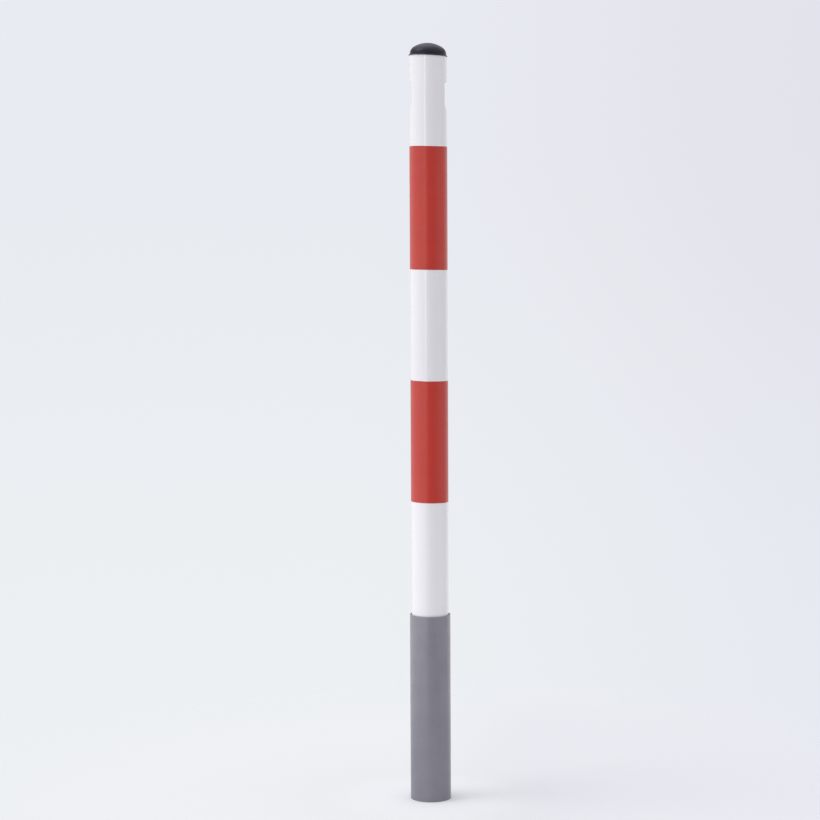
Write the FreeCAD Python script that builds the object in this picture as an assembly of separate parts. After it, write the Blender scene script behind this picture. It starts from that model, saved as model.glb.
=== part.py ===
"""Drop-in steel safety bollard.

A white steel tube with two red film bands and a black dome cap stands in a grey steel ground sleeve.
The sleeve is cast into the ground up to its rim, and the post lifts out of it.
Millimetres, +Z up. The origin is the centre of the sleeve's foot, on the axis of the post.
X runs across the two grip recesses, and the seams of the film bands face +Y.
"""

import FreeCAD
import Part

import math
import os

# Ground sleeve
SLEEVE_OUTER_R = 33.0
SLEEVE_WALL = 2.0
SLEEVE_LENGTH = 305.0
SLEEVE_EDGE_CHAMFER = 0.4
FLOOR_PLATE_RECESS = 3.0
FLOOR_PLATE_THICKNESS = 4.0
DRAIN_HOLE_R = 6.0
WELD_LEG = 2.7
WELD_BULGE = 0.45

# Post tube: 60.3 mm steel tube
POST_OUTER_R = 30.15
POST_WALL = 2.5
POST_LENGTH = 1200.0
END_CUT_TILT = 2.5  # degrees: the sawn top end falls towards +X

# Two opposed grip recesses, pressed into the wall just under the cap
RECESS_DEPTH = 3.7
RECESS_TOP_BELOW_END = 40.0
RECESS_HEIGHT = 50.0
RECESS_SHOULDER = 2.6
RECESS_RAMP = 13.0
RECESS_FILLET = 1.5

# Red film bands, wrapped round the tube by hand and lapped at the back
BAND_HEIGHT = 197.0
BAND_THICKNESS = 0.3
TOP_BAND_BELOW_END = 144.0
BAND_GAP = 179.0
BAND_TILT = 1.2  # degrees: both edges fall towards +X
BAND_LAP = 12.0

# Dome cap, moulded in one piece with its plug
DOME_R = 29.4
DOME_RISE = 18.5
DOME_SHOULDER_R = 14.0
CAP_FLANGE_R = 31.2
CAP_FLANGE_EDGE = 0.7
DOME_SPRING_HEIGHT = 2.5
DOME_FLANGE_FILLET = 1.2
CAP_WALL = 2.5
HOLLOW_SHOULDER_R = 10.0
GATE_R = 2.0  # the round mark that the mould's gate leaves on the crown
GATE_DEPTH = 0.4

# Plugs of the cap and of the foot, both gripped by fins inside the tube
PLUG_CORE_R = 26.4
PLUG_BORE_R = 24.0
PLUG_LENGTH = 22.0
PLUG_ROOT = 2.0  # how far the plug reaches up into the dome
PLUG_NOSE = 1.5
FIN_COUNT = 3
FIN_CLEARANCE = 0.05
FIN_THICKNESS = 1.2
FIN_ROOT = 0.5  # how deep a fin starts inside the plug's core
FIN_FIRST = 4.0
FIN_PITCH = 5.5

# Foot plug
FOOT_FLANGE_R = 30.0
FOOT_FLANGE_THICKNESS = 3.0
FOOT_CHAMFER = 1.2
DRAIN_GROOVE_WIDTH = 4.0
DRAIN_GROOVE_DEPTH = 1.2

# Worked out from the values above
SLEEVE_BORE_R = SLEEVE_OUTER_R - SLEEVE_WALL
POST_BORE_R = POST_OUTER_R - POST_WALL
FIN_R = POST_BORE_R - FIN_CLEARANCE
FLOOR_PLATE_TOP = FLOOR_PLATE_RECESS + FLOOR_PLATE_THICKNESS
TUBE_BOTTOM = FLOOR_PLATE_TOP + FOOT_FLANGE_THICKNESS
TUBE_TOP = FLOOR_PLATE_TOP + POST_LENGTH
UPPER_BAND_BOTTOM = TUBE_TOP - TOP_BAND_BELOW_END - BAND_HEIGHT
LOWER_BAND_BOTTOM = UPPER_BAND_BOTTOM - BAND_GAP - BAND_HEIGHT
RECESS_TOP = TUBE_TOP - RECESS_TOP_BELOW_END
RECESS_BOTTOM = RECESS_TOP - RECESS_HEIGHT

UP = FreeCAD.Vector(0, 0, 1)
ACROSS = FreeCAD.Vector(0, 1, 0)
ORIGIN = FreeCAD.Vector(0, 0, 0)
BEYOND = 50.0  # how far cutting tools reach past what they cut
OVERSHOOT = 1.0  # how far a bore runs past the end that it opens


def point(x, z):
    """A point of the XZ half-plane that profiles are drawn in."""
    return FreeCAD.Vector(x, 0, z)


def line(a, b):
    return Part.LineSegment(point(*a), point(*b)).toShape()


def arc(a, through, b):
    return Part.Arc(point(*a), point(*through), point(*b)).toShape()


def outline(points):
    """Straight edges through the points, without closing them."""
    return [line(a, b) for a, b in zip(points, points[1:])]


def turned(edges):
    """The solid that a closed profile sweeps round the Z axis."""
    face = Part.Face(Part.Wire(edges))
    return face.revolve(ORIGIN, UP, 360)


def turned_polygon(points):
    return turned(outline([*points, points[0]]))


def cylinder(radius, bottom, top):
    return Part.makeCylinder(radius, top - bottom, FreeCAD.Vector(0, 0, bottom))


def tilted(shape, degrees, height):
    """The shape turned about the Y direction through the axis at that height, so that +X falls."""
    copy = shape.copy()
    copy.rotate(FreeCAD.Vector(0, 0, height), ACROSS, degrees)
    return copy


def slab(bottom, top, half_width=BEYOND):
    """A square block round the Z axis."""
    corner = FreeCAD.Vector(-half_width, -half_width, bottom)
    return Part.makeBox(2 * half_width, 2 * half_width, top - bottom, corner)


def fins(root_z, direction):
    """Thin rings that grip the tube's bore, tapered towards the plug's nose."""
    rings = []
    for i in range(FIN_COUNT):
        wide = root_z + direction * (FIN_FIRST + i * FIN_PITCH)
        narrow = wide + direction * FIN_THICKNESS
        inside = PLUG_CORE_R - FIN_ROOT
        rings.append(
            turned_polygon([(inside, wide), (FIN_R, wide), (PLUG_CORE_R, narrow), (inside, narrow)])
        )
    return rings


def plug(root_z, direction):
    """The hollow spigot of a plug, from its root, with its fins."""
    nose_z = root_z + direction * PLUG_LENGTH
    shoulder_z = nose_z - direction * PLUG_NOSE
    body = turned_polygon(
        [
            (PLUG_BORE_R, root_z),
            (PLUG_CORE_R, root_z),
            (PLUG_CORE_R, shoulder_z),
            (PLUG_CORE_R - PLUG_NOSE, nose_z),
            (PLUG_BORE_R, nose_z),
        ]
    )
    return body.fuse(fins(root_z, direction))


def recess_tool(offset):
    """The block that presses the recess at +X, moved towards the axis by offset."""
    flat = POST_OUTER_R - RECESS_DEPTH - offset
    outside = POST_OUTER_R - offset
    far = POST_OUTER_R + BEYOND
    profile = [
        (far, RECESS_BOTTOM),
        (outside, RECESS_BOTTOM),
        (flat, RECESS_BOTTOM + RECESS_RAMP),
        (flat, RECESS_TOP - RECESS_SHOULDER),
        (outside, RECESS_TOP),
        (far, RECESS_TOP),
    ]
    wire = Part.Wire(outline([*profile, profile[0]]))
    wire.translate(FreeCAD.Vector(0, -BEYOND, 0))
    return Part.Face(wire).extrude(FreeCAD.Vector(0, 2 * BEYOND, 0))


def recessed_bar(radius, bottom, top, offset):
    """A round bar with the two opposed recesses. Its seam faces -Y, clear of them."""
    bar = cylinder(radius, bottom, top)
    bar.rotate(ORIGIN, UP, -90)
    tool = recess_tool(offset)
    other = tool.copy()
    other.rotate(ORIGIN, UP, 180)
    return bar.cut([tool, other])


def is_recess_edge(edge):
    box = edge.BoundBox
    return box.ZMin > RECESS_BOTTOM - OVERSHOOT and box.ZMax < RECESS_TOP + OVERSHOOT


def post_tube():
    """Steel tube whose wall carries on behind the pressed recesses."""
    top = TUBE_TOP + BEYOND
    outside = recessed_bar(POST_OUTER_R, TUBE_BOTTOM, top, 0)
    outside = outside.makeFillet(RECESS_FILLET, [e for e in outside.Edges if is_recess_edge(e)])
    bore = recessed_bar(POST_BORE_R, TUBE_BOTTOM - OVERSHOOT, top + OVERSHOOT, POST_WALL)
    above_cut = tilted(slab(TUBE_TOP, top + BEYOND, 2 * BEYOND), END_CUT_TILT, TUBE_TOP)
    return outside.cut([bore, above_cut])


def red_band(bottom):
    """A strip of film wrapped once round the tube, with its ends lapped at +Y."""
    outer = POST_OUTER_R + BAND_THICKNESS
    spare = 2 * POST_OUTER_R * math.tan(math.radians(BAND_TILT))
    low, high = bottom - spare, bottom + BAND_HEIGHT + spare
    wrap = cylinder(outer, low, high).cut(cylinder(POST_OUTER_R, low, high))
    lap_degrees = math.degrees(BAND_LAP / outer)
    lap = Part.makeCylinder(
        outer + BAND_THICKNESS, high - low, FreeCAD.Vector(0, 0, low), UP, lap_degrees
    )
    lap = lap.cut(cylinder(outer, low, high))
    lap.rotate(ORIGIN, UP, 90 - lap_degrees / 2)
    middle = bottom + BAND_HEIGHT / 2
    keep = tilted(slab(bottom, bottom + BAND_HEIGHT), BAND_TILT, middle)
    return wrap.fuse(lap).common(keep)


def polar(centre, radius, angle):
    return (centre[0] + radius * math.cos(angle), centre[1] + radius * math.sin(angle))


def dome_arcs(radius, spring, rise, shoulder_r):
    """The two tangent arcs of a dome, from its foot to the edge of the gate mark, and where they end."""
    shoulder = (radius - shoulder_r, spring)
    crown_r = (shoulder[0] ** 2 + rise**2 - shoulder_r**2) / (2 * (rise - shoulder_r))
    crown = (0, spring + rise - crown_r)
    meeting = math.atan2(shoulder[1] - crown[1], shoulder[0] - crown[0])
    ending = math.acos(GATE_R / crown_r)
    join = polar(crown, crown_r, meeting)
    end = polar(crown, crown_r, ending)
    round_shoulder = arc((radius, spring), polar(shoulder, shoulder_r, meeting / 2), join)
    over_crown = arc(join, polar(crown, crown_r, (meeting + ending) / 2), end)
    return [round_shoulder, over_crown], end


def dome_and_flange():
    """The solid dome on its thin flange, square to the axis."""
    spring = TUBE_TOP + DOME_SPRING_HEIGHT
    dome, gate_edge = dome_arcs(DOME_R, spring, DOME_RISE, DOME_SHOULDER_R)
    gate_floor = gate_edge[1] - GATE_DEPTH
    fillet = DOME_FLANGE_FILLET
    eighth = math.sqrt(0.5)  # the sine and cosine of an eighth of a turn
    rim_start = DOME_R + fillet
    rim_width = CAP_FLANGE_R - rim_start
    flange_top = spring - fillet
    edge_z = TUBE_TOP + CAP_FLANGE_EDGE
    rim_mid = (rim_start + rim_width * eighth, edge_z + (flange_top - edge_z) * eighth)
    bend_mid = (rim_start - fillet * eighth, spring - fillet * eighth)
    underside = [(0, gate_floor), (0, TUBE_TOP), (CAP_FLANGE_R, TUBE_TOP), (CAP_FLANGE_R, edge_z)]
    edges = [
        *dome,
        *outline([gate_edge, (GATE_R, gate_floor), *underside]),
        arc((CAP_FLANGE_R, edge_z), rim_mid, (rim_start, flange_top)),
        arc((rim_start, flange_top), bend_mid, (DOME_R, spring)),
    ]
    return turned(edges)


def cap_hollow():
    """The space inside the cap, open through the plug's nose."""
    spring = TUBE_TOP + DOME_SPRING_HEIGHT
    rise = DOME_RISE - CAP_WALL
    mouth = TUBE_TOP - PLUG_LENGTH - OVERSHOOT
    dome, end = dome_arcs(PLUG_BORE_R, spring, rise, HOLLOW_SHOULDER_R)
    below = [(0, end[1]), (0, mouth), (PLUG_BORE_R, mouth), (PLUG_BORE_R, spring)]
    return turned([*dome, *outline([end, *below])])


def end_cap():
    """Hollow dome cap: its flange lies on the sawn end, and its plug stands square in the bore."""
    shell = tilted(dome_and_flange(), END_CUT_TILT, TUBE_TOP)
    return shell.fuse(plug(TUBE_TOP + PLUG_ROOT, -1)).cut(cap_hollow())


def foot_plug():
    """Plastic foot that closes the tube, with crossed grooves that lead water to the drain hole."""
    low, high = FLOOR_PLATE_TOP, TUBE_BOTTOM
    flange = turned_polygon(
        [
            (0, low),
            (FOOT_FLANGE_R - FOOT_CHAMFER, low),
            (FOOT_FLANGE_R, low + FOOT_CHAMFER),
            (FOOT_FLANGE_R, high),
            (0, high),
        ]
    )
    groove = Part.makeBox(
        2 * FOOT_FLANGE_R,
        DRAIN_GROOVE_WIDTH,
        DRAIN_GROOVE_DEPTH,
        FreeCAD.Vector(-FOOT_FLANGE_R, -DRAIN_GROOVE_WIDTH / 2, low),
    )
    crossing = groove.copy()
    crossing.rotate(ORIGIN, UP, 90)
    return flange.fuse(plug(high, 1)).cut([groove, crossing])


def ground_sleeve():
    """Steel sleeve with broken edges at its rim and its foot."""
    chamfer = SLEEVE_EDGE_CHAMFER
    return turned_polygon(
        [
            (SLEEVE_BORE_R, 0),
            (SLEEVE_OUTER_R - chamfer, 0),
            (SLEEVE_OUTER_R, chamfer),
            (SLEEVE_OUTER_R, SLEEVE_LENGTH - chamfer),
            (SLEEVE_OUTER_R - chamfer, SLEEVE_LENGTH),
            (SLEEVE_BORE_R + chamfer, SLEEVE_LENGTH),
            (SLEEVE_BORE_R, SLEEVE_LENGTH - chamfer),
        ]
    )


def sleeve_floor_plate():
    """Disc that the post stands on, set into the sleeve's foot, with a drain hole."""
    disc = cylinder(SLEEVE_BORE_R, FLOOR_PLATE_RECESS, FLOOR_PLATE_TOP)
    return disc.cut(cylinder(DRAIN_HOLE_R, 0, FLOOR_PLATE_TOP + OVERSHOOT))


def floor_plate_weld():
    """Fillet weld in the corner between the floor plate and the sleeve, seen from below."""
    corner = (SLEEVE_BORE_R, FLOOR_PLATE_RECESS)
    on_plate = (SLEEVE_BORE_R - WELD_LEG, FLOOR_PLATE_RECESS)
    on_wall = (SLEEVE_BORE_R, FLOOR_PLATE_RECESS - WELD_LEG)
    reach = WELD_LEG / 2 + WELD_BULGE * math.sqrt(0.5)
    crown = (SLEEVE_BORE_R - reach, FLOOR_PLATE_RECESS - reach)
    return turned([line(corner, on_plate), arc(on_plate, crown, on_wall), line(on_wall, corner)])


def whole(shape):
    """The shape as a solid with seams between like faces removed."""
    clean = shape.removeSplitter()
    return clean.Solids[0] if len(clean.Solids) == 1 else clean


def main():
    parts = {
        "ground_sleeve": ground_sleeve(),
        "sleeve_floor_plate": sleeve_floor_plate(),
        "floor_plate_weld": floor_plate_weld(),
        "foot_plug": foot_plug(),
        "post_tube": post_tube(),
        "upper_red_band": red_band(UPPER_BAND_BOTTOM),
        "lower_red_band": red_band(LOWER_BAND_BOTTOM),
        "end_cap": end_cap(),
    }
    os.makedirs("parts", exist_ok=True)
    for name, shape in parts.items():
        solid = whole(shape)
        box = solid.BoundBox
        print(
            f"{name}: solids {len(solid.Solids)}, valid {solid.isValid()}, volume {solid.Volume:.0f} mm3, "
            f"z {box.ZMin:.2f} to {box.ZMax:.2f}, x {box.XMin:.2f} to {box.XMax:.2f}"
        )
        solid.exportStep(f"parts/{name}.step")


main()
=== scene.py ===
"""Looks of the drop-in safety bollard: paint, films, moulded plastic, steel, and the studio round it.

Metres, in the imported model's frame: +Z up the post, the camera side is -Y, the film seams face +Y.
"""

import math

import bmesh
import bpy
from mathutils import Matrix, Vector, noise


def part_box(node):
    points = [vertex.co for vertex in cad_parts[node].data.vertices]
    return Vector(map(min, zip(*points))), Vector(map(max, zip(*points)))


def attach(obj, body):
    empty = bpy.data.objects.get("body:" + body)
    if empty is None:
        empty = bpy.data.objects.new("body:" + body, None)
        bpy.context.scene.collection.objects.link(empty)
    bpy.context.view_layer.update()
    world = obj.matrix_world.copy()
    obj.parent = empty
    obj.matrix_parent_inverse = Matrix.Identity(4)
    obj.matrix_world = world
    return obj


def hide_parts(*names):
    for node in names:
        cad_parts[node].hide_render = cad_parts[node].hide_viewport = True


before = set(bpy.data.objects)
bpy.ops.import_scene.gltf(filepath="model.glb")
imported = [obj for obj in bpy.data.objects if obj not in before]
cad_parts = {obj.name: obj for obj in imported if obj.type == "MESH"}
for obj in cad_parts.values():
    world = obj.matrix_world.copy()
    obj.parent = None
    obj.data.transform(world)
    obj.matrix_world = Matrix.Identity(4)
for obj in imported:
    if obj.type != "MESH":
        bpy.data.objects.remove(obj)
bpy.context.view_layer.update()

MM = 0.001
MICRON = 0.000001

# Camera: where it stands, and how it is held
CAMERA_DISTANCE = 3.632
CAMERA_HEIGHT = 0.929
CAMERA_PITCH_DOWN = math.radians(4.568)
CAMERA_YAW_LEFT = math.radians(0.495)
CAMERA_ROLL = math.radians(-0.27)
CAMERA_FOCAL_PX = 2247.5
IMAGE_PX = 820
SENSOR_MM = 36.0

# Film bands: a strip wound once round the tube, whose end climbs onto its start
FILM_THICKNESS = 0.3 * MM
FILM_PRESSED = 0.98  # the share of its thickness that is left once it is pressed on
FILM_LAP = 12.0 * MM
FILM_TILT = math.radians(1.2)
FILM_GAP = 0.01 * MM
FILM_ROUNDING = 0.08 * MM
FILM_SEGMENTS = 192
FILM_ROWS = 40
FILM_EDGE_ROWS = (0.0, 0.05 * MM, 0.12 * MM, 0.25 * MM)
FILM_END_STEP = 0.003  # radians between the last points at each end of the strip
FILM_CLIMB = 0.05  # radians that the climb takes
FILM_CLIMB_STEPS = 8
FILM_EDGE_WAVE = 0.35 * MM
FILM_WAVE_R = 1.4  # radius of the circle on which the edges read their noise
FILM_TOP_WAVE = 7.3  # how far above the lower edge's circle the upper edge's lies
FILM_NEXT_WAVE = 11.0  # and how far above the first band's the second band's lies

# Weld bead: a ring of overlapping ripples, each a little lower at its end than at its start
WELD_LEG = 2.7 * MM
WELD_RIPPLES = 46
WELD_SEGMENTS = 368
WELD_FACE_STEPS = 6
WELD_RIPPLE_DROP = 0.10
WELD_UNEVENNESS = 0.03
WELD_FLATTENING = 0.28
WELD_NOISE_CIRCLE = (4.0, 2.0)  # radius and height of the circle on which it reads its noise

# Colours, scene-linear. A pair of tones is what a surface mottles between.
WHITE_TONES = ((0.727, 0.727, 0.742), (0.708, 0.708, 0.724))
WHITE_RUBBED = (0.52, 0.51, 0.50)
RED_TONES = ((0.457, 0.0215, 0.0090), (0.427, 0.0185, 0.0072))
GREY_TONES = ((0.192, 0.187, 0.220), (0.170, 0.167, 0.199))
GREY_STREAK = (0.25, 0.245, 0.27)
GREY_CHIPS_AND_RIM_HIGHLIGHT = (0.36, 0.35, 0.37)
BLACK_TONES = ((0.007, 0.007, 0.0110), (0.011, 0.011, 0.0165))
BLACK_SCUFF = (0.075, 0.075, 0.085)
BLACK_GLOSS_TINT = (0.84, 0.80, 1.0, 1.0)
SCALE_TONES = ((0.115, 0.112, 0.115), (0.21, 0.205, 0.20))
RUST = (0.19, 0.075, 0.03)
BEAD_TONES = ((0.17, 0.165, 0.165), (0.30, 0.29, 0.28))
HEAT_TINT = (0.14, 0.095, 0.085)

# Roughness, from the smoothest spots of a finish to its roughest, and what wear adds to it
WHITE_ROUGHNESS = (0.02, 0.07)
RUBBED_ROUGHNESS = 0.5
RED_ROUGHNESS = (0.32, 0.36)
GREY_ROUGHNESS = (0.28, 0.38)
CAP_ROUGHNESS = (0.30, 0.40)
FOOT_ROUGHNESS = (0.45, 0.6)
SCUFF_ROUGHNESS = 0.3
SCALE_ROUGHNESS = (0.42, 0.85)
BEAD_ROUGHNESS = (0.36, 0.6)

GLOSS_IOR = 1.5
SATIN_IOR = 1.62
PLASTIC_IOR = 1.38

# The span that nearly all values of a noise texture lie in
NOISE_SPAN = (0.3, 0.75)

# Wear where the post drops into the sleeve: rubbed marks above the rim, chips just below it. The chips'
# pale band is also a painted highlight, the bright line the rim edge catches.
RUB_ABOVE_RIM = (1.0 * MM, 115.0 * MM)
RUB_STRENGTH = 0.35
CHIPS_AND_HIGHLIGHT_BELOW_RIM = (1.6 * MM, 0.2 * MM)

# Studio walls, windows and ceiling. Azimuths are in degrees from the camera's side, positive to the
# right. Heights, and depths behind the object, are measured on the unit sphere.
FRONT_WALL = 0.605
BACK_WALL = 0.45
WALL_TURNS_BACK = (0.0, 0.25)
# A window is (left edge, right edge), (softness of each), (sill from, to), level.
WINDOWS = (
    ((-178, -134), (2, 20), (-0.46, -0.32), 0.42),
    ((-134, -20), (20, 2), (-0.46, -0.32), 1.06),
    ((-24, -16.5), (1.5, 1.5), (-0.12, -0.02), 3.2),
    ((50, 100), (20, 20), (-0.36, -0.22), 0.55),
    ((108, 165), (20, 20), (-0.36, -0.22), 0.8),
)
WINDOW_HEAD = (0.14, 0.22)
CEILING = 1.08
CEILING_EDGE = (0.36, 0.60)
ROOM_COLOR = (0.99, 0.97, 1.03)

# A round lamp is its direction, the cosines of its outer edge and of its full core, and its level.
KEY_LIGHT = (Vector((-0.70, -0.16, 0.70)).normalized(), 0.91, 0.985, 2.1)
HIGH_LIGHT = (Vector((-0.18, 0.10, 0.97)).normalized(), 0.80, 0.95, 0.86)
LAMP_COLOR = (1.0, 0.99, 0.99)

# Backdrop and floor. A pair of colours is its left and its right; the darker right is painted shade, as
# the light comes from the left.
# painted shade: the backdrop is darker at its top than low down
BACKDROP_HIGH = ((0.807, 0.831, 0.88), (0.764, 0.761, 0.823))
BACKDROP_LOW = ((0.839, 0.871, 0.896), (0.791, 0.815, 0.871))
BACKDROP_SHADE_ACROSS = (-0.05, 0.22)
BACKDROP_SHADE_UP = (-0.20, 0.06)
# painted shade: the floor's right colour is darker and bluer, as the light falls from the left
FLOOR_LIT_AND_SHADED_COLORS = ((0.660, 0.684, 0.676), (0.635, 0.649, 0.665))
FLOOR_SHADE_ACROSS = (-0.05, 0.20)
FLOOR_NEAR_PAINTED_LIGHT = (0.722, 0.742, 0.748)  # painted light: paler close to the base, offsetting the shade that the base casts on the floor
FLOOR_PAINTED_LIGHT_REACH = (0.03, 0.20)
FLOOR_FADE = (0.45, 1.05)
FLOOR_SEGMENTS = 96


# ---------------------------------------------------------------- node helpers


class Shader:
    """A material's or a world's node tree, with short calls to fill it."""

    def __init__(self, owner):
        owner.use_nodes = True
        self.tree = owner.node_tree
        self.tree.nodes.clear()

    def node(self, kind, inputs=None, **settings):
        made = self.tree.nodes.new(kind)
        for name, value in settings.items():
            setattr(made, name, value)
        for name, value in (inputs or {}).items():
            self.feed(made.inputs[name], value)
        return made

    def feed(self, socket, value):
        """Links a socket to the value, or sets it."""
        if isinstance(value, bpy.types.NodeSocket):
            self.tree.links.new(value, socket)
        elif hasattr(value, "__len__") and socket.type == "RGBA" and len(value) == 3:
            socket.default_value = (*value, 1.0)
        else:
            socket.default_value = value

    def math(self, operation, *values):
        made = self.node("ShaderNodeMath", operation=operation)
        for socket, value in zip(made.inputs, values):
            self.feed(socket, value)
        return made.outputs[0]

    def ramp(self, value, low, high, to_low=0.0, to_high=1.0):
        """A smooth step: to_low below low, to_high above high."""
        made = self.node("ShaderNodeMapRange", interpolation_type="SMOOTHSTEP")
        for socket, v in zip(made.inputs, (value, low, high, to_low, to_high)):
            self.feed(socket, v)
        return made.outputs[0]

    def mix(self, factor, a, b):
        """Colour a where the factor is 0, and b where it is 1."""
        made = self.node("ShaderNodeMix", data_type="RGBA")
        self.feed(made.inputs[0], factor)
        self.feed(made.inputs[6], a)
        self.feed(made.inputs[7], b)
        return made.outputs[2]

    def place(self):
        """Object coordinates, in metres."""
        return self.node("ShaderNodeTexCoord").outputs["Object"]

    def split(self, vector):
        """A vector's X, Y and Z."""
        return self.node("ShaderNodeSeparateXYZ", {0: vector}).outputs

    def noise(self, vector, scale, detail, roughness, stretch=None):
        """Noise of so many features per metre, drawn out along an axis where stretch is under 1."""
        if stretch:
            vector = self.node("ShaderNodeMapping", {"Vector": vector, "Scale": stretch}).outputs[0]
        inputs = {"Vector": vector, "Scale": scale, "Detail": detail, "Roughness": roughness}
        return self.node("ShaderNodeTexNoise", inputs).outputs[0]

    def bump(self, height, depth, normal=None):
        """The normal of a relief that is so deep, on top of another relief if one is given."""
        inputs = {"Height": height, "Distance": depth, "Strength": 1.0}
        if normal is not None:
            inputs["Normal"] = normal
        return self.node("ShaderNodeBump", inputs).outputs[0]


def surface(name):
    material = bpy.data.materials.new(name)
    return material, Shader(material)


def finish_surface(shader, color, roughness, normal, **constants):
    """The principled shader and its output. Constants are set on the shader's own sockets."""
    inputs = {"Base Color": color, "Roughness": roughness, "Normal": normal}
    bsdf = shader.node("ShaderNodeBsdfPrincipled", inputs)
    for name, value in constants.items():
        bsdf.inputs[name.replace("_", " ").title().replace("Ior", "IOR")].default_value = value
    shader.node("ShaderNodeOutputMaterial", {"Surface": bsdf.outputs[0]})


# ---------------------------------------------------------------- materials


def white_paint():
    """Glossy powder coat on steel: faint orange peel, a little handling haze, rubbed marks low down."""
    material, s = surface("white_powder_coat")
    vector = s.place()
    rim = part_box("ground_sleeve")[1].z
    cloud = s.noise(vector, scale=9.0, detail=4.0, roughness=0.55, stretch=(1.0, 1.0, 0.35))
    color = s.mix(s.ramp(cloud, 0.35, 0.7), *WHITE_TONES)
    rub = s.noise(vector, scale=60.0, detail=5.0, roughness=0.65, stretch=(1.0, 1.0, 0.16))
    first, last = RUB_ABOVE_RIM
    low_down = s.ramp(s.split(vector)["Z"], rim + first, rim + last, RUB_STRENGTH, 0.0)
    marks = s.math("MULTIPLY", s.ramp(rub, 0.60, 0.72), low_down)
    color = s.mix(marks, color, WHITE_RUBBED)
    haze = s.noise(vector, scale=28.0, detail=4.0, roughness=0.6)
    gloss = s.ramp(haze, *NOISE_SPAN, *WHITE_ROUGHNESS)
    roughness = s.math("MULTIPLY_ADD", marks, RUBBED_ROUGHNESS, gloss)
    peel = s.bump(s.noise(vector, scale=300.0, detail=2.0, roughness=0.5), 18 * MICRON)
    scratches = s.noise(vector, scale=900.0, detail=2.0, roughness=0.5, stretch=(1.0, 1.0, 0.03))
    normal = s.bump(s.ramp(scratches, 0.62, 0.7), 4 * MICRON, peel)
    finish_surface(s, color, roughness, normal, ior=GLOSS_IOR)
    return material


def red_film():
    """Pressed-on film: a fine rolled texture, slight mottling, and faint pull lines from wrapping."""
    material, s = surface("red_film")
    vector = s.place()
    mottle = s.noise(vector, scale=34.0, detail=5.0, roughness=0.6)
    color = s.mix(s.ramp(mottle, 0.3, 0.72), *RED_TONES)
    pull = s.noise(vector, scale=22.0, detail=3.0, roughness=0.5, stretch=(1.0, 1.0, 6.0))
    roughness = s.ramp(pull, *NOISE_SPAN, *RED_ROUGHNESS)
    grain = s.bump(s.noise(vector, scale=1400.0, detail=2.0, roughness=0.5), 12 * MICRON)
    normal = s.bump(pull, 10 * MICRON, grain)
    finish_surface(s, color, roughness, normal, ior=GLOSS_IOR)
    return material


def grey_paint():
    """Satin grey coat on the sleeve: mottled, with a pale band just below the rim where the post drops
    in, partly chipped paint and partly a painted highlight.
    """
    material, s = surface("grey_paint")
    vector = s.place()
    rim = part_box("ground_sleeve")[1].z
    mottle = s.noise(vector, scale=26.0, detail=5.0, roughness=0.62)
    color = s.mix(s.ramp(mottle, 0.28, 0.74), *GREY_TONES)
    streak = s.noise(vector, scale=40.0, detail=4.0, roughness=0.6, stretch=(1.0, 1.0, 0.08))
    color = s.mix(s.ramp(streak, 0.58, 0.8, 0.0, 0.3), color, GREY_STREAK)
    chips = s.noise(vector, scale=520.0, detail=5.0, roughness=0.65)
    first, last = CHIPS_AND_HIGHLIGHT_BELOW_RIM
    at_rim = s.ramp(s.split(vector)["Z"], rim - first, rim - last)
    chips_and_highlight = s.math("MULTIPLY", at_rim, s.ramp(chips, 0.44, 0.60))
    # partly chipped paint, partly a painted highlight: the pale band stands in for the bright line the
    # rim edge catches
    color = s.mix(chips_and_highlight, color, GREY_CHIPS_AND_RIM_HIGHLIGHT)
    haze = s.noise(vector, scale=70.0, detail=4.0, roughness=0.6)
    roughness = s.ramp(haze, *NOISE_SPAN, *GREY_ROUGHNESS)
    grain = s.bump(s.noise(vector, scale=700.0, detail=3.0, roughness=0.55), 30 * MICRON)
    normal = s.bump(s.math("MULTIPLY", chips_and_highlight, -1.0), 80 * MICRON, grain)
    finish_surface(s, color, roughness, normal, ior=SATIN_IOR)
    return material


def black_plastic(name, gloss):
    """Moulded polyethylene: spark-eroded grain, flow clouds and a few dust-pale scuffs."""
    material, s = surface(name)
    vector = s.place()
    flow = s.noise(vector, scale=45.0, detail=4.0, roughness=0.6)
    color = s.mix(s.ramp(flow, *NOISE_SPAN), *BLACK_TONES)
    scuff = s.noise(vector, scale=160.0, detail=5.0, roughness=0.65, stretch=(1.0, 0.35, 1.0))
    scuffs = s.ramp(scuff, 0.64, 0.74, 0.0, 0.4)
    color = s.mix(scuffs, color, BLACK_SCUFF)
    roughness = s.math("MULTIPLY_ADD", scuffs, SCUFF_ROUGHNESS, s.ramp(flow, *NOISE_SPAN, *gloss))
    normal = s.bump(s.noise(vector, scale=1500.0, detail=2.0, roughness=0.5), 90 * MICRON)
    finish_surface(s, color, roughness, normal, ior=PLASTIC_IOR, specular_tint=BLACK_GLOSS_TINT)
    return material


def bare_steel():
    """Hot-rolled plate: mill scale with rust blooms."""
    material, s = surface("mill_scale_steel")
    vector = s.place()
    scale = s.noise(vector, scale=90.0, detail=6.0, roughness=0.65)
    color = s.mix(s.ramp(scale, 0.35, 0.7), *SCALE_TONES)
    rust = s.ramp(s.noise(vector, scale=38.0, detail=6.0, roughness=0.7), 0.58, 0.72)
    color = s.mix(rust, color, RUST)
    roughness = s.ramp(rust, 0.0, 1.0, *SCALE_ROUGHNESS)
    normal = s.bump(scale, 120 * MICRON)
    finish_surface(s, color, roughness, normal, metallic=0.75, ior=GLOSS_IOR)
    return material


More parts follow.
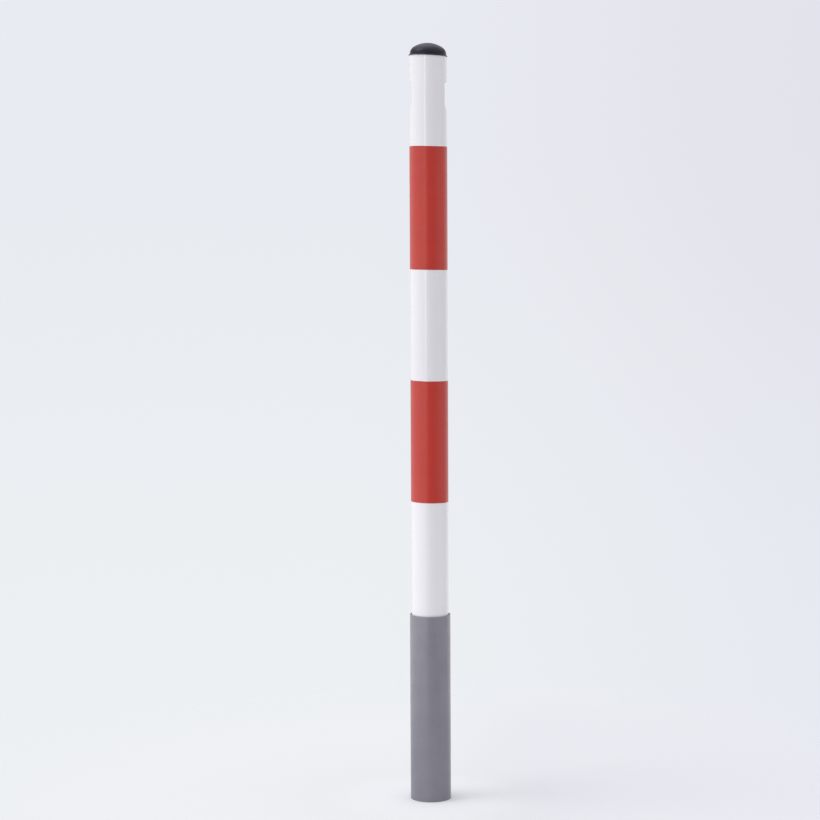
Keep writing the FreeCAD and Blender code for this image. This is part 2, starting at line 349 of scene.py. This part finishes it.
def weld_metal():
    """As-welded bead: dull steel with patches of heat tint."""
    material, s = surface("weld_metal")
    vector = s.place()
    grain = s.noise(vector, scale=420.0, detail=5.0, roughness=0.6)
    color = s.mix(s.ramp(grain, 0.3, 0.7), *BEAD_TONES)
    patches = s.noise(vector, scale=120.0, detail=3.0, roughness=0.5)
    color = s.mix(s.ramp(patches, 0.5, 0.7, 0.0, 0.6), color, HEAT_TINT)
    roughness = s.ramp(grain, 0.3, 0.7, *BEAD_ROUGHNESS)
    normal = s.bump(grain, 60 * MICRON)
    finish_surface(s, color, roughness, normal, metallic=0.9, ior=GLOSS_IOR)
    return material


# ---------------------------------------------------------------- pieces


def mesh_object(name, mesh_data, material):
    mesh = bpy.data.meshes.new(name)
    mesh_data.to_mesh(mesh)
    mesh_data.free()
    for polygon in mesh.polygons:
        polygon.use_smooth = True
    mesh.materials.append(material)
    made = bpy.data.objects.new(name, mesh)
    bpy.context.scene.collection.objects.link(made)
    return made


def closed_grid(rings, wrap_ends):
    """A bmesh from equal rings of points, its last ring joined to its first, or both ends closed."""
    mesh = bmesh.new()
    rows = [[mesh.verts.new(p) for p in ring] for ring in rings]
    count = len(rows[0])
    pairs = list(zip(rows, rows[1:]))
    if wrap_ends:
        pairs.append((rows[-1], rows[0]))
    for a, b in pairs:
        for i in range(count):
            j = (i + 1) % count
            mesh.faces.new((a[i], a[j], b[j], b[i]))
    if not wrap_ends:
        mesh.faces.new(rows[0][::-1])
        mesh.faces.new(rows[-1])
    bmesh.ops.recalc_face_normals(mesh, faces=mesh.faces)
    return mesh


def around(angle, r, z):
    return Vector((math.cos(angle) * r, math.sin(angle) * r, z))


def smooth_step(value, low, high):
    share = min(1.0, max(0.0, (value - low) / (high - low)))
    return share * share * (3 - 2 * share)


def film_turns(turn, climb_end):
    """Angles along the film, evenly spaced, but closer at its two ends and on its climb."""
    even = [turn * i / FILM_SEGMENTS for i in range(FILM_SEGMENTS + 1)]
    steps = range(FILM_CLIMB_STEPS + 1)
    close = [climb_end - FILM_CLIMB * (1.0 - i / FILM_CLIMB_STEPS) for i in steps]
    ends = [FILM_END_STEP, 2 * FILM_END_STEP, turn - 2 * FILM_END_STEP, turn - FILM_END_STEP]
    kept = [t for t in even if not close[0] <= t <= close[-1]]
    return sorted(kept + close + ends)


def film_band(node, wave_height):
    """One strip of film, wound once round the tube and lapped at the back, with hand-cut edges."""
    low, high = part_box(node)
    tube_low, tube_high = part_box("post_tube")
    radius = (tube_high.y - tube_low.y) / 2
    rise = radius * math.tan(FILM_TILT)
    bottom, top = low.z + rise, high.z - rise
    height = top - bottom
    lap_angle = FILM_LAP / radius
    start = math.pi / 2 - lap_angle / 2
    turn = 2 * math.pi + lap_angle
    climb_end = turn - lap_angle
    edge_shares = [row / height for row in FILM_EDGE_ROWS]
    inner_shares = [row / FILM_ROWS for row in range(1, FILM_ROWS)]
    shares = edge_shares + inner_shares + [1.0 - share for share in reversed(edge_shares)]
    rings = []
    for turned in film_turns(turn, climb_end):
        angle = start + turned
        climb = smooth_step(turned, climb_end - FILM_CLIMB, climb_end)
        inner = radius + FILM_GAP + climb * (FILM_THICKNESS + FILM_GAP)
        outer = inner + FILM_THICKNESS * FILM_PRESSED
        ends = []
        for z, shift in ((bottom, 0.0), (top, FILM_TOP_WAVE)):
            wave = noise.noise(around(angle, FILM_WAVE_R, wave_height + shift)) * FILM_EDGE_WAVE
            ends.append(z - math.cos(angle) * rise + wave)
        ring = []
        for share in shares:
            rounding = FILM_ROUNDING if share in (0.0, 1.0) else 0.0
            ring.append(around(angle, outer - rounding, ends[0] + (ends[1] - ends[0]) * share))
        for share in reversed(shares):
            ring.append(around(angle, inner, ends[0] + (ends[1] - ends[0]) * share))
        rings.append(ring)
    return closed_grid(rings, False)


def weld_bead():
    """The fillet bead under the floor plate, laid in overlapping ripples."""
    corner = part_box("floor_plate_weld")[1]
    rings = []
    for i in range(WELD_SEGMENTS):
        angle = 2 * math.pi * i / WELD_SEGMENTS
        beat = (i * WELD_RIPPLES / WELD_SEGMENTS) % 1.0
        uneven = WELD_UNEVENNESS * noise.noise(around(angle, *WELD_NOISE_CIRCLE))
        leg = WELD_LEG * (1.0 - WELD_RIPPLE_DROP * beat + uneven)
        ring = [around(angle, corner.x, corner.z)]
        for step in range(WELD_FACE_STEPS + 1):
            turn = math.pi / 2 * step / WELD_FACE_STEPS
            reach = leg * (1.0 - WELD_FLATTENING * (1.0 - abs(math.cos(2 * turn))))
            r = corner.x - reach * math.cos(turn)
            ring.append(around(angle, r, corner.z - reach * math.sin(turn)))
        rings.append(ring)
    return closed_grid(rings, True)


# ---------------------------------------------------------------- studio


def camera():
    data = bpy.data.cameras.new("camera")
    data.sensor_width = SENSOR_MM
    data.lens = CAMERA_FOCAL_PX / IMAGE_PX * SENSOR_MM
    made = bpy.data.objects.new("camera", data)
    bpy.context.scene.collection.objects.link(made)
    upright = Matrix.Rotation(math.pi / 2 - CAMERA_PITCH_DOWN, 4, "X")
    turned = Matrix.Rotation(CAMERA_YAW_LEFT, 4, "Z") @ upright @ Matrix.Rotation(CAMERA_ROLL, 4, "Z")
    made.matrix_world = Matrix.Translation((0, -CAMERA_DISTANCE, CAMERA_HEIGHT)) @ turned
    bpy.context.scene.camera = made


def room_level(s, y, z):
    """How bright the walls and the ceiling are in each direction."""
    above = s.ramp(z, *CEILING_EDGE)
    below = s.math("SUBTRACT", 1.0, above)
    walls = s.math("MULTIPLY", s.ramp(y, *WALL_TURNS_BACK, FRONT_WALL, BACK_WALL), below)
    return s.math("MULTIPLY_ADD", above, CEILING, walls)


def lamp_level(s, vector, azimuth, z):
    """How bright the windows and the round lamps are in each direction."""
    level_sum = 0.0
    below_head = s.ramp(z, *WINDOW_HEAD, 1.0, 0.0)
    for (left, right), (left_soft, right_soft), sill, level in WINDOWS:
        rise = s.ramp(azimuth, left - left_soft, left + left_soft, 0.0, level)
        fall = s.ramp(azimuth, right - right_soft, right + right_soft, 1.0, 0.0)
        height = s.math("MULTIPLY", s.ramp(z, *sill), below_head)
        level_sum = s.math("MULTIPLY_ADD", s.math("MULTIPLY", rise, fall), height, level_sum)
    for direction, edge, core, level in (KEY_LIGHT, HIGH_LIGHT):
        towards = s.node("ShaderNodeVectorMath", {0: vector, 1: direction}, operation="DOT_PRODUCT")
        level_sum = s.math("ADD", level_sum, s.ramp(towards.outputs["Value"], edge, core, 0.0, level))
    return level_sum


def studio_light():
    """A white studio with windows all round, a bright ceiling and two round lamps, and its backdrop,
    which carries painted shade: darker to the right and towards the top.
    """
    world = bpy.data.worlds.new("studio")
    bpy.context.scene.world = world
    s = Shader(world)
    vector = s.node("ShaderNodeTexCoord").outputs["Generated"]
    x, y, z = s.split(vector)
    azimuth = s.math("DEGREES", s.math("ARCTAN2", x, s.math("MULTIPLY", y, -1.0)))

    room = {"Color": ROOM_COLOR, "Strength": room_level(s, y, z)}
    lamps = {"Color": LAMP_COLOR, "Strength": lamp_level(s, vector, azimuth, z)}
    of_room = s.node("ShaderNodeBackground", room).outputs[0]
    of_lamps = s.node("ShaderNodeBackground", lamps).outputs[0]
    lit = s.node("ShaderNodeAddShader", {0: of_room, 1: of_lamps}).outputs[0]

    # painted shade on the backdrop: darker to the right and towards the top
    across = s.ramp(x, *BACKDROP_SHADE_ACROSS)
    low = s.mix(across, *BACKDROP_LOW)
    high = s.mix(across, *BACKDROP_HIGH)
    shaded_sweep = s.mix(s.ramp(z, *BACKDROP_SHADE_UP), low, high)
    backdrop = s.node("ShaderNodeBackground", {"Color": shaded_sweep, "Strength": 1.0}).outputs[0]
    seen = s.node("ShaderNodeLightPath").outputs["Is Camera Ray"]
    both = s.node("ShaderNodeMixShader", {0: seen, 1: lit, 2: backdrop}).outputs[0]
    s.node("ShaderNodeOutputWorld", {"Surface": both})


def floor():
    """A pale floor that fades out into the backdrop, with painted shade towards its right and painted
    light close to the base.
    """
    material, s = surface("studio_floor")
    vector = s.place()
    distance = s.node("ShaderNodeVectorMath", {0: vector}, operation="LENGTH").outputs["Value"]
    # painted shade: the floor darkens towards the right
    color = s.mix(s.ramp(s.split(vector)["X"], *FLOOR_SHADE_ACROSS), *FLOOR_LIT_AND_SHADED_COLORS)
    # painted light: the floor is paler near the base, offsetting the shade the base casts there
    color = s.mix(s.ramp(distance, *FLOOR_PAINTED_LIGHT_REACH), FLOOR_NEAR_PAINTED_LIGHT, color)
    diffuse = s.node("ShaderNodeBsdfDiffuse", {"Color": color}).outputs[0]
    clear = s.node("ShaderNodeBsdfTransparent").outputs[0]
    faded = s.node("ShaderNodeMixShader", {0: s.ramp(distance, *FLOOR_FADE), 1: diffuse, 2: clear})
    s.node("ShaderNodeOutputMaterial", {"Surface": faded.outputs[0]})
    mesh = bmesh.new()
    bmesh.ops.create_circle(mesh, cap_ends=True, segments=FLOOR_SEGMENTS, radius=FLOOR_FADE[1])
    made = mesh_object("studio_floor", mesh, material)


# ---------------------------------------------------------------- assembly


def paint(node, material):
    """Gives a CAD node its material."""
    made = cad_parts[node]
    made.data.materials.clear()
    made.data.materials.append(material)


def main():
    bpy.context.scene.view_settings.view_transform = "Standard"
    camera()
    studio_light()
    floor()

    film = red_film()
    paint("post_tube", white_paint())
    paint("ground_sleeve", grey_paint())
    paint("end_cap", black_plastic("cap_plastic", CAP_ROUGHNESS))
    paint("foot_plug", black_plastic("foot_plastic", FOOT_ROUGHNESS))
    paint("sleeve_floor_plate", bare_steel())

    for i, node in enumerate(("upper_red_band", "lower_red_band")):
        piece = mesh_object(node.replace("band", "film"), film_band(node, FILM_NEXT_WAVE * i), film)
        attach(piece, "post")
        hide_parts(node)

    bead = mesh_object("floor_plate_bead", weld_bead(), weld_metal())
    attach(bead, "sleeve")
    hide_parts("floor_plate_weld")


main()
